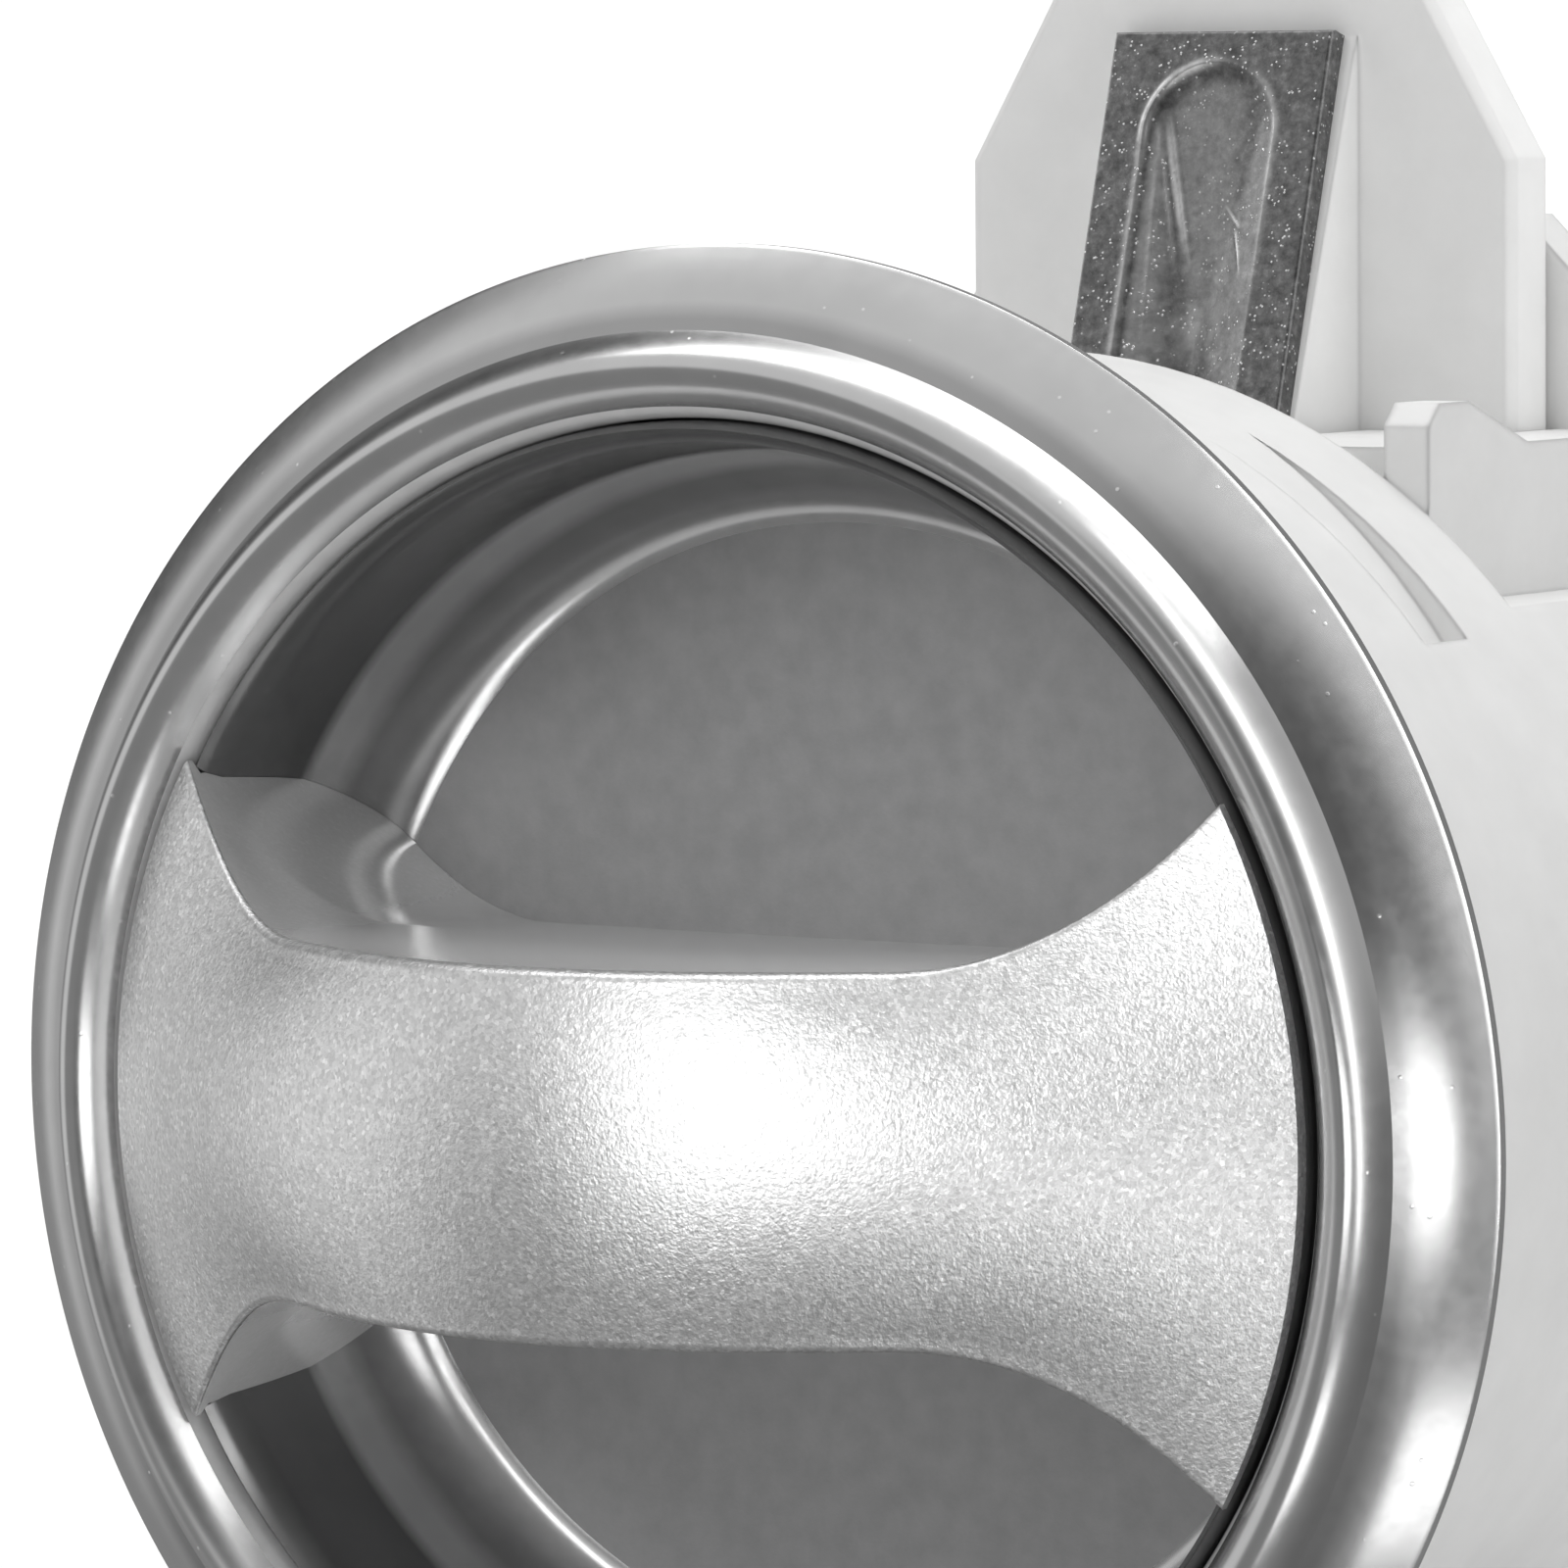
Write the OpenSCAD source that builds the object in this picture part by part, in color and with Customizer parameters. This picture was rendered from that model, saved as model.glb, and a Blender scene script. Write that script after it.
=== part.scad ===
// Recessed turn-knob latch for a cabinet door.
// The knob's axis is the Y axis and the front faces -Y. Y = 0 is the front face of the door,
// where the bezel sits. The bolt stands up along +Z. Millimetres.

/* [Bezel ring] */
// Radial width of the flange outside the rolled bead
flange_w = 2.9; // [2.4:0.1:6]
// Height of the rolled bead's crest above the door
bead_h = 3.9; // [3:0.1:5]
// Radial width of the rolled bead
bead_w = 2.7; // [2.2:0.1:3.4]

/* [Knob] */
// Diameter over the cup's lip
knob_d = 48; // [42:0.5:54]
// Depth of the cup's floor behind the door's face
cup_depth = 7.5; // [6:0.25:9]
// Wall thickness of the cup
cup_wall = 1.1; // [0.9:0.1:1.4]
// Width of the grip bar at its waist
waist_w = 12.6; // [10:0.2:16]
// Width of the grip bar's flared ends
flare_w = 23.4; // [20:0.2:26]
// Height of the bar's crown above the door
crown_h = 15; // [9:0.5:18]
// Height of the bar's ends above the door
end_h = 3.3; // [3.1:0.05:3.6]
// How much narrower the bar is at its foot, each side
bar_draft = 0.9; // [0.4:0.1:1.2]
// Height of the dome across the bar
bar_dome = 0.9; // [0.3:0.1:1.6]

/* [Housing] */
// Thickness of the door that the drum passes through
door_t = 20.5; // [18:0.5:26]
// Wall of the drum
drum_wall = 1.4; // [1.2:0.1:1.8]
// Wall of the mechanism case
case_wall = 1.8; // [1.5:0.1:2.2]
// Depth of the mechanism case behind the door
case_depth = 18.4; // [17:0.2:24]
// Width of the tower beside the bolt, each side
tower_side = 4.55; // [4.3:0.05:6]
// Height of the tower's roof above the knob's axis
roof_z = 22.4; // [22.2:0.1:24]
// Distance of each mounting hole from the wall of the case
ear_reach = 6.2; // [5.4:0.1:9]
// Diameter of the mounting holes
ear_hole_d = 4.5; // [3.5:0.1:5]

/* [Bolt] */
// Width of the bolt's head
bolt_w = 23.4; // [20:0.1:24.4]
// Thickness of the bolt
bolt_t = 3; // [2.6:0.1:3.6]
// Height of the bolt's top above the knob's axis
bolt_top = 41.5; // [40:0.5:48]
// Width of the slanted boss and its steel plate
plate_w = 9.4; // [8:0.2:10.4]
// Thickness of the steel plate
plate_t = 0.9; // [0.6:0.1:1.2]
// Slant of the boss in degrees
boss_slant = 17; // [12:1:20]

/* [Drive] */
// Teeth of the drive gear
gear_teeth = 16; // [15:1:16]
// Module of the gear and the rack
gear_mod = 1; // [0.95:0.01:1.02]
// Turn of the knob in degrees
knob_turn = 90; // [60:5:90]
// Diameter of the spindle
spindle_d = 8; // [7:0.25:9]

/* [Fits] */
// Running clearance of turning and sliding parts
run_gap = 0.05; // [0.03:0.01:0.1]
// Clearance around the bolt in its guides
guide_gap = 0.2; // [0.15:0.05:0.3]
// Radial gap between the knob and the bezel
knob_gap = 0.4; // [0.3:0.05:0.6]
// Clearance of parts that are pushed together
push_gap = 0.02; // [0.02:0.01:0.05]

/* [Hidden] */
$fn = 96;
eps = 0.01;

knob_r = knob_d / 2;
ring_bore_r = knob_r + knob_gap;
bead_r = ring_bore_r + bead_w;
bezel_r = bead_r + flange_w;

// Sleeve of the bezel that plugs into the front of the drum.
sleeve_t = 0.65;
sleeve_len = 3.5;
sleeve_r = ring_bore_r + sleeve_t;
snap_h = 0.2;
snap_y = 2.2;
snap_w = 0.7;

// The drum's rim sits in a groove in the back of the flange.
rim_seat = 0.3;
drum_in_r = ring_bore_r;
drum_r = drum_in_r + drum_wall;

// Cup: radii and depths of the inside, from the lip to the floor.
lip_t = 0.5;
lip_h = end_h - 0.6;
floor_t = 1.3;
floor_r = knob_r - 3.9;
ledge_r = knob_r - 1.1;
wall_y = cup_depth - 4.4;
step_y = cup_depth - 1.1;
cup_back = cup_depth + floor_t;

// Spindle: flange, washer, web and bush in a row along Y.
flange_t = 2;
spindle_r = spindle_d / 2;
bar_screw_x = spindle_r + 3.5;
flange_r = bar_screw_x + 3.5;
washer_t = 0.4;
flange_back = cup_back + flange_t;
web_front = flange_back + washer_t + run_gap;
web_t = 2;
web_back = web_front + web_t;
bush_wall = 1.5;
bush_r = spindle_r + bush_wall;
boss_wall = 2;
boss_back = web_back + 3.4;

// Drive gear, and the window in the bolt that it turns in.
gear_r = gear_teeth * gear_mod / 2;
stroke = gear_r * knob_turn * PI / 180;
addendum = 0.85 * gear_mod;
dedendum = 1.1 * gear_mod;
gear_tip_r = gear_r + addendum;
backlash = 0.12;
window_x = gear_tip_r + 0.4;
window_top = stroke + gear_tip_r + 0.5;

// Bolt: its legs are as wide as its head, or wider where the window needs it.
bolt_x = bolt_w / 2;
leg_wall = 2.4;
leg_x = max(bolt_x, window_x + leg_wall);
leg_z = -6.5;
foot_w = 1.4;
foot_h = 3;
head_low = window_top + 0.3;
head_edge = 0.35;

// Tower round the bolt's legs, and the posts beside it that take the rear cover's screws.
shelf_z = 16.9;
tower_x = leg_x + tower_side;
roof_t = 1.6;
cheek_lip_z = roof_z + 1.6;
cheek_lip_len = 3;
cheek_run_len = 7.6;
post_r = 2.9;
post_in = tower_x - case_wall / 2 + post_r + 0.95;
post_sink = 0.65;
post_min_z = 7;
screw_r = 1.4;
screw_len = 10;
head_r = 2.6;
head_h = 1.6;

// Mechanism case: round like the drum, or larger where the bolt's feet or the posts need it.
foot_reach = norm([leg_x + foot_w, leg_z - stroke]) + 0.3;
post_reach = norm([post_in, post_min_z]) + post_r - post_sink;
case_r = max(drum_r, foot_reach + case_wall, post_reach + case_wall);
cavity_r = case_r - case_wall;
drum_cavity_r = drum_r - case_wall;
case_front = door_t;
case_back = case_front + case_depth;
cover_t = 2.5;
cover_back = case_back + cover_t;
post_place = cavity_r - post_r + post_sink;
post_z = min(sqrt(post_place * post_place - post_in * post_in), shelf_z - post_r);
post_x = sqrt(post_place * post_place - post_z * post_z);

// The bolt slides just in front of the rear cover, with the gear in its window.
bolt_back = case_back - guide_gap;
bolt_front = bolt_back - bolt_t;
gear_front = bolt_front + guide_gap;
gear_back = bolt_back - guide_gap;
chamfer_x = 5.2;
chamfer_angle = 30;
chamfer_z = chamfer_x / tan(chamfer_angle);
boss_top = bolt_top - 4.4;
boss_len = 17.6;
boss_low = boss_top - boss_len;
boss_skew = 0.6;
notch_z = 8;
notch_d = 0.7;

// Pressed channel in the steel plate.
channel_w = 5.7;
channel_top = 1.2;
channel_d = 0.55;

// Rear end of the spindle.
journal_r = spindle_r - 1.4;
square_w = spindle_d * 0.68;
cover_boss_r = journal_r + 3.6;
cover_boss_h = 2;
clip_t = 0.8;
tail = 1;
tail_front = cover_back + cover_boss_h;
rear_washer_t = 0.6;
clip_front = tail_front + rear_washer_t + run_gap;

// Screws that hold the bar: through the flange and the cup's floor.
bar_screw_r = 1.25;
bar_screw_len = 9;

// Mounting ears.
ear_t = 2.5;
ear_r = 6;
ear_x = case_r + ear_reach;

// Helpers: a shape drawn in X and Z, carried back along Y.
module slab(y0, y1) {
    translate([0, y1, 0])
        rotate([90, 0, 0])
            linear_extrude(y1 - y0)
                children();
}

// A round bar along Y.
module rod(r, y0, y1) {
    translate([0, y1, 0])
        rotate([90, 0, 0])
            cylinder(r = r, h = y1 - y0);
}

// A profile of [radius, y] points turned about the Y axis.
module turned(points) {
    rotate([90, 0, 0])
        rotate_extrude()
            polygon([for (p = points) [p[0], -p[1]]]);
}

// Bezel ring: [radius, y] from the outer edge over the flange and bead to the bore.
edge_h = 0.5;
valley_h = bead_h - 1.4;
inner_h = bead_h - 1.85;
crest_r = ring_bore_r + bead_w * 0.62;
flange_bulge = 0.3;
seat_play = 0.15;
bezel_points = concat(
    [[bezel_r - 0.35, 0], [bezel_r - 0.08, -0.1], [bezel_r, -edge_h]],
    [for (i = [1:9]) let (t = i / 10)
        [bezel_r - flange_w * t, -edge_h - (valley_h - edge_h) * t - flange_bulge * sin(180 * t)]],
    // outside and inside of the rolled bead, a quarter of an ellipse each
    [for (a = [0:15:75])
        [crest_r + (bead_r - crest_r) * cos(a), -valley_h - (bead_h - valley_h) * sin(a)]],
    [for (a = [90:-11.25:0])
        [crest_r - (crest_r - ring_bore_r) * cos(a), -inner_h - (bead_h - inner_h) * sin(a)]],
    [[ring_bore_r, sleeve_len], [sleeve_r - 0.25, sleeve_len], [sleeve_r, sleeve_len - 0.4]],
    [[sleeve_r, snap_y + snap_w], [sleeve_r + snap_h, snap_y + snap_w / 2], [sleeve_r, snap_y]],
    [[sleeve_r, -rim_seat], [drum_r + seat_play, -rim_seat], [drum_r + seat_play, 0]]
);

module bezel_ring() {
    color("silver")
        turned(bezel_points);
}

// Inside of the cup from the lip to the floor, as [radius, y]: a drafted wall, a ledge that slopes
// from the wall's foot, and the rounded rim round the floor.
rim_w = 0.95;
ledge_power = 0.7;
cup_inside = concat(
    [[knob_r - lip_t, -lip_h + 0.3], [knob_r - 0.75, -lip_h + 1.1]],
    [for (t = [0:0.2:0.8])
        [ledge_r - (ledge_r - floor_r - rim_w) * pow(t, ledge_power), wall_y + (step_y - wall_y) * t]],
    [for (a = [0:22.5:90])
        [floor_r + rim_w * (1 - sin(a)), step_y + (cup_depth - step_y) * (1 - cos(a))]]
);
cup_outside = [
    [knob_r, cup_depth - 3.2], [knob_r - 0.5, cup_depth - 2.2],
    [floor_r + 1.1 + cup_wall, cup_depth - 1.4], [floor_r + 0.6 + cup_wall, cup_back - 0.6],
    [floor_r + 0.4, cup_back]
];

module knob_cup() {
    color("darkgray")
        difference() {
            turned(concat(
                [[0, cup_depth]],
                [for (i = [len(cup_inside) - 1:-1:0]) cup_inside[i]],
                [[knob_r - lip_t / 2, -lip_h], [knob_r - 0.1, -lip_h + 0.15], [knob_r, -lip_h + 0.45]],
                cup_outside,
                [[0, cup_back]]
            ));
            for (s = [-1, 1])
                translate([s * bar_screw_x, 0, 0])
                    rod(bar_screw_r + 0.15, cup_depth - 1, cup_back + 1);
        }
}

// Grip bar: a grid of stations along it, rows down its sides and columns across it.
bar_nu = 32;
bar_nv = 8;
bar_edge = 0.7;

// The sides run straight over the middle, then flare to the corners on the knob's rim.
corner_x = sqrt(knob_r * knob_r - flare_w * flare_w / 4);
flare_x = knob_r / 2;
flare_power = 2.1;
function bar_half(x) = waist_w / 2
    + (flare_w - waist_w) / 2 * pow(max(0, (abs(x) - flare_x) / (corner_x - flare_x)), flare_power);

// Heights at a station, which is 0 in the middle and 1 at the ends.
function crown_y(t) = -end_h - (crown_h - end_h) * (1 - t * t) * (1 - 0.3 * t * t);
function dome_y(t, v) = bar_dome * v * v * (1 - 0.8 * t * t);
function edge_y(t) = bar_edge * (1 - 0.8 * t * t);
function side_top(t) = crown_y(t) + dome_y(t, 1);
function bar_tuck(t, y) = bar_draft * pow(max(0, (y - side_top(t)) / (cup_depth - side_top(t))), 3);

// Stations are closer together near the flared ends.
function station(i) = let (t = 2 * i / bar_nu - 1) sign(t) * (1 - pow(1 - abs(t), 1.25));

// Rows: [y, end radius, inset]. The first three round the top edge, and their y is the arch's.
// The rest stand on the cup's lip and follow its inside down to the floor.
bar_rows = concat(
    [[0, knob_r, 0.35], [0, knob_r, 0.08], [0, knob_r, 0]],
    [[-lip_h - push_gap, knob_r], [-lip_h - push_gap / 2, knob_r - lip_t - push_gap]],
    [for (p = cup_inside) [p[1] - push_gap, p[0] - push_gap]]
);
bar_nk = len(bar_rows) - 1;

// Where the side of a row meets the row's end radius, found by halving.
function row_end(r, inset, low, high, n) =
    let (x = (low + high) / 2, z = bar_half(x) - inset)
    n == 0 ? x
        : x * x + z * z > r * r ? row_end(r, inset, low, x, n - 1)
        : row_end(r, inset, x, high, n - 1);
function row_inset(k, t, y) = k < 3 ? bar_rows[k][2] : bar_tuck(t, y);
row_corners = [for (k = [0:bar_nk])
    let (
        r = bar_rows[k][1],
        inset = row_inset(k, 1, bar_rows[k][0]),
        x = row_end(r, inset, 0, r, 20)
    )
    [x, bar_half(x) - inset]];

// Point of the grid at a station, a row and a column.
function bar_point(t, k, v) =
    let (
        row = bar_rows[k],
        y = k == 0 ? crown_y(t) + dome_y(t, v)
            : k == 1 ? side_top(t) + 0.35 * edge_y(t)
            : k == 2 ? side_top(t) + edge_y(t) - 0.01 * (1 - t * t)
            : row[0],
        half = bar_half(t * row_corners[k][0]) - row_inset(k, t, y),
        end_z = v * row_corners[k][1]
    )
    [t * sqrt(row[1] * row[1] - end_z * end_z), y, v * half];

// One closed loop of grid places [k, j]: over the top, down one side, back along the foot.
bar_ring = concat(
    [for (j = [0:bar_nv]) [0, j]],
    [for (k = [1:bar_nk - 1]) [k, bar_nv]],
    [for (j = [bar_nv:-1:0]) [bar_nk, j]],
    [for (k = [bar_nk - 1:-1:1]) [k, 0]]
);
bar_m = len(bar_ring);

// Where a place of an end grid is in the list of points.
function end_place(e, k, j) =
    k > 0 && k < bar_nk && j > 0 && j < bar_nv
        ? (bar_nu + 1) * bar_m + ((e * (bar_nk - 1) + k - 1) * (bar_nv - 1) + j - 1)
        : e * bar_nu * bar_m + (k == 0 ? j : j == bar_nv && k < bar_nk ? bar_nv + k
            : k == bar_nk ? 2 * bar_nv + bar_nk - j : 2 * bar_nv + 2 * bar_nk - k);

function flipped(f, yes) = yes ? [f[2], f[1], f[0]] : f;

module knob_bar() {
    color("lightgray")
        difference() {
            polyhedron(
                points = concat(
                    [for (i = [0:bar_nu], q = bar_ring) bar_point(station(i), q[0], 2 * q[1] / bar_nv - 1)],
                    [for (e = [0, 1], k = [1:bar_nk - 1], j = [1:bar_nv - 1])
                        bar_point(2 * e - 1, k, 2 * j / bar_nv - 1)]
                ),
                faces = concat(
                    [for (i = [0:bar_nu - 1], q = [0:bar_m - 1])
                        let (a = i * bar_m + q, b = i * bar_m + (q + 1) % bar_m)
                        each [[a, b, b + bar_m], [a, b + bar_m, a + bar_m]]],
                    [for (e = [0, 1], k = [0:bar_nk - 1], j = [0:bar_nv - 1])
                        let (
                            a = end_place(e, k, j), b = end_place(e, k, j + 1),
                            c = end_place(e, k + 1, j + 1), d = end_place(e, k + 1, j)
                        )
                        each [flipped([a, c, b], e == 1), flipped([a, d, c], e == 1)]]
                )
            );
            for (s = [-1, 1])
                translate([s * bar_screw_x, 0, 0])
                    rod(bar_screw_r, cup_depth - 6.5, cup_depth + 1);
        }
}

module bar_screws() {
    color("gray")
        for (s = [-1, 1])
            translate([s * bar_screw_x, 0, 0])
                difference() {
                    union() {
                        rod(bar_screw_r - push_gap, flange_back - bar_screw_len, flange_back - 0.9);
                        rod(2.2, flange_back - 1.2, flange_back - 0.1);
                    }
                    slab(flange_back - 0.7, flange_back)
                        square([3.2, 0.6], center = true);
                }
}

module spindle() {
    color("gray")
        difference() {
            union() {
                rod(flange_r, cup_back, flange_back);
                rod(spindle_r, flange_back - eps, gear_front);
                slab(gear_front - eps, case_back + guide_gap)
                    intersection() {
                        square(square_w, center = true);
                        circle(r = spindle_r - 0.4);
                    }
                rod(journal_r, case_back, clip_front + clip_t + tail);
            }
            for (s = [-1, 1])
                translate([s * bar_screw_x, 0, 0]) {
                    rod(bar_screw_r + 0.15, cup_back - 1, flange_back + 1);
                    rod(2.4, flange_back - 1.2, flange_back + 1);
                }
            turned([
                [journal_r - 0.6, clip_front - run_gap / 2], [journal_r + 1, clip_front - run_gap / 2],
                [journal_r + 1, clip_front + clip_t + run_gap / 2],
                [journal_r - 0.6, clip_front + clip_t + run_gap / 2]
            ]);
        }
}

module spindle_bush() {
    color("goldenrod")
        difference() {
            rod(bush_r, web_front, boss_back);
            rod(spindle_r + run_gap, web_front - 1, boss_back + 1);
        }
}

module thrust_washer() {
    color("white")
        difference() {
            rod(flange_r - 2, flange_back + run_gap / 2, flange_back + run_gap / 2 + washer_t);
            rod(spindle_r + 0.15, flange_back - 1, web_front + 1);
        }
}

// Half tooth angle of the gear at a radius, from the involute of its base circle.
pressure = 20;
base_r = gear_r * cos(pressure);
function involute(a) = tan(a) - a * PI / 180;
function half_tooth(r) = (90 / gear_teeth) - backlash / 4 / gear_r * 180 / PI
    + (involute(pressure) - (r > base_r ? involute(acos(base_r / r)) : 0)) * 180 / PI;
root_r = gear_r - dedendum;
flank_steps = 5;
function flank_r(k) = root_r + (gear_tip_r - root_r) * k / flank_steps;

module gear_outline() {
    polygon([for (t = [0:gear_teeth - 1]) let (mid = t * 360 / gear_teeth + 180)
        each concat(
            [for (k = [0:flank_steps]) let (r = flank_r(k), a = mid - half_tooth(r))
                [r * cos(a), r * sin(a)]],
            [for (k = [flank_steps:-1:0]) let (r = flank_r(k), a = mid + half_tooth(r))
                [r * cos(a), r * sin(a)]]
        )]);
}

module drive_gear() {
    color("ivory")
        slab(gear_front, gear_back)
            difference() {
                gear_outline();
                intersection() {
                    square(square_w + 2 * run_gap, center = true);
                    circle(r = spindle_r - 0.4 + run_gap);
                }
            }
}

// Rack teeth on the left leg: gaps centred where the gear's teeth enter.
rack_pitch = PI * gear_mod;
rack_low = -1;
rack_high = ceil((stroke + gear_mod * 2.5) / rack_pitch);
function rack_half(d) = rack_pitch / 4 + backlash / 4 + d * tan(pressure);

module rack_gaps() {
    for (i = [rack_low:rack_high])
        translate([-gear_r, i * rack_pitch])
            polygon([
                [dedendum, -rack_half(dedendum)], [-dedendum, -rack_half(-dedendum)],
                [-dedendum, rack_half(-dedendum)], [dedendum, rack_half(dedendum)]
            ]);
}

// The bolt below its head: two legs beside the gear's window.
module bolt_outline() {
    difference() {
        translate([-leg_x, leg_z])
            square([2 * leg_x, head_low - leg_z]);
        // window for the gear, open at the bottom, with rounded top corners
        translate([-gear_r + addendum, leg_z - 1])
            square([window_x + gear_r - addendum, window_top - leg_z - 1]);
        translate([-gear_r + addendum + 2, leg_z])
            square([window_x + gear_r - addendum - 4, window_top - leg_z]);
        for (x = [-gear_r + addendum + 2, window_x - 2])
            translate([x, window_top - 2])
                circle(r = 2);
        rack_gaps();
        // notches for the detent springs, one for each end of the travel
        for (s = [-1, 1], z = [notch_z, notch_z + stroke])
            translate([s * leg_x, z])
                rotate(s < 0 ? 0 : 180)
                    polygon([[-eps, -1.6], [notch_d, -0.6], [notch_d, 0.6], [-eps, 1.6]]);
    }
    for (s = [-1, 1])
        translate([s < 0 ? -leg_x - foot_w : leg_x - eps, leg_z])
            square([foot_w + eps, foot_h]);
}

// The octagonal head, drawn in from its edges for the chamfer round its faces.
module head_outline(inset) {
    side_z = bolt_top - chamfer_z - inset * tan(chamfer_angle / 2);
    top_x = bolt_x - chamfer_x - inset * tan(45 - chamfer_angle / 2);
    polygon([
        [inset - bolt_x, head_low - eps], [bolt_x - inset, head_low - eps], [bolt_x - inset, side_z],
        [top_x, bolt_top - inset], [-top_x, bolt_top - inset], [inset - bolt_x, side_z]
    ]);
}

// Front of the boss at a height above its low end, measured forward from the bolt.
boss_step = 0.1;
function boss_rise(z) = boss_step + (boss_top - z) * tan(boss_slant);

module bolt() {
    color("whitesmoke") {
        slab(bolt_front, bolt_back)
            bolt_outline();
        hull() {
            slab(bolt_front, bolt_back)
                head_outline(head_edge);
            slab(bolt_front + head_edge, bolt_back - head_edge)
                head_outline(0);
        }
        difference() {
            intersection() {
                // side view of the boss, a touch wider at its root than the plate
                translate([-plate_w / 2 - 1.2, 0, 0])
                    rotate([90, 0, 90])
                        linear_extrude(plate_w + 2.4)
                            polygon([
                                [bolt_front + eps, boss_low], [bolt_front + eps, boss_top],
                                [bolt_front - boss_rise(boss_top), boss_top],
                                [bolt_front - boss_rise(boss_low + 1.5), boss_low + 1.5],
                                [bolt_front - boss_rise(boss_low) + 1.6, boss_low]
                            ]);
                // plan view: flanks lean in towards the front
                translate([0, 0, boss_low - 1])
                    linear_extrude(boss_len + 2)
                        polygon([
                            [-plate_w / 2 - boss_skew, bolt_front + 1],
                            [plate_w / 2 + boss_skew, bolt_front + 1],
                            [plate_w / 2, bolt_front - boss_rise(boss_low) - 1],
                            [-plate_w / 2, bolt_front - boss_rise(boss_low) - 1]
                        ]);
            }
            plate_frame()
                linear_extrude(2 * (channel_d + push_gap), center = true)
                    channel_shape(push_gap);
        }
    }
}

// Frame of the steel plate: its X across, its Y down the slant, its Z out of the boss.
module plate_frame() {
    translate([0, bolt_front - boss_rise(boss_top), boss_top])
        rotate([90 - boss_slant, 0, 0])
            mirror([0, 1, 0])
                children();
}

slant_len = (boss_len - 1.5) / cos(boss_slant);

module channel_shape(grow) {
    translate([0, channel_top + channel_w / 2])
        circle(r = channel_w / 2 + grow);
    translate([-channel_w / 2 - grow, channel_top + channel_w / 2])
        square([channel_w + 2 * grow, slant_len - channel_top - channel_w / 2 + 1]);
}

module wear_plate() {
    color("lightslategray")
        plate_frame()
            difference() {
                union() {
                    translate([-plate_w / 2, 0, push_gap])
                        cube([plate_w, slant_len, plate_t]);
                    intersection() {
                        translate([0, 0, -channel_d])
                            linear_extrude(channel_d + push_gap + eps)
                                channel_shape(0);
                        translate([-plate_w / 2, 0, -channel_d])
                            cube([plate_w, slant_len, plate_t]);
                    }
                }
                // the channel gets deeper down the slant
                translate([0, 0, push_gap + plate_t])
                    rotate([-1.3, 0, 0])
                        translate([0, 0, -0.25])
                            linear_extrude(2)
                                channel_shape(-plate_t / 2);
            }
}

// Leaf spring: a thin strip along the leg's edge with a nose in its middle.
spring_t = 0.4;
spring_x = leg_x + 1.35;
nose_reach = spring_x - leg_x + notch_d - 0.15;
spring_half = 8.6;
nose_half = 3.4;
function spring_dx(z) = abs(z) > nose_half ? 0 : -nose_reach * (1 + cos(180 * z / nose_half)) / 2;
spring_zs = concat([-spring_half], [for (i = [-10:10]) nose_half * i / 10], [spring_half]);

module detent_spring() {
    slab(gear_front + 0.1, gear_back - 0.1)
        translate([spring_x, notch_z])
            polygon(concat(
                [for (z = spring_zs) [spring_dx(z), z]],
                [for (i = [len(spring_zs) - 1:-1:0]) [spring_dx(spring_zs[i]) + spring_t, spring_zs[i]]]
            ));
}

module detent_spring_right() {
    color("dimgray")
        detent_spring();
}

module detent_spring_left() {
    color("dimgray")
        mirror([1, 0, 0])
            detent_spring();
}

// Outline of the case behind the door: a circle cut at the shelf, with the tower.
module case_outline(inset) {
    intersection() {
        circle(r = case_r - inset);
        translate([-case_r, -case_r])
            square([2 * case_r, case_r + shelf_z - inset]);
    }
    translate([-tower_x + inset, 0])
        square([2 * (tower_x - inset), roof_z - inset]);
}

// Mounting ears: a round end on a strap that widens towards the case.
module ear_outline() {
    root_x = cavity_r + case_wall / 2;
    for (s = [0, 1])
        mirror([s, 0]) {
            translate([ear_x, 0])
                circle(r = ear_r);
            polygon([
                [root_x, -ear_r], [ear_x + 1, -ear_r + 0.5], [ear_x + 1, ear_r - 0.5], [root_x, ear_r]
            ]);
        }
}

// A recess in the drum's side that ramps in and ends in a flat step.
ramp_a0 = 38.5;
ramp_sweep = 25;
ramp_depth = 0.9;
ramp_front = 12.8;
ramp_w = 3.1;
ramp_steps = 10;

module drum_ramps() {
    for (k = [0:2])
        rotate([0, 120 * k, 0])
            slab(ramp_front, ramp_front + ramp_w)
                polygon(concat(
                    [for (i = [0:ramp_steps]) let (a = ramp_a0 + ramp_sweep * i / ramp_steps)
                        (drum_r - ramp_depth * (1 - i / ramp_steps)) * [cos(a), sin(a)]],
                    [for (i = [ramp_steps:-1:0]) let (a = ramp_a0 + ramp_sweep * i / ramp_steps)
                        (drum_r + 1) * [cos(a), sin(a)]]
                ));
}

// Guides of the bolt inside the case.
guide_low = leg_z + foot_h + 0.3;
guide_x = leg_x + guide_gap;
lip_x = leg_x - 2.1;
lip_depth = 2.2;
stop_z = leg_z - stroke - 0.3;
rib_t = 1.8;
guide_out = tower_x - case_wall / 2;
guide_high = roof_z - roof_t / 2;

module both_sides() {
    children();
    mirror([1, 0, 0])
        children();
}

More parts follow.
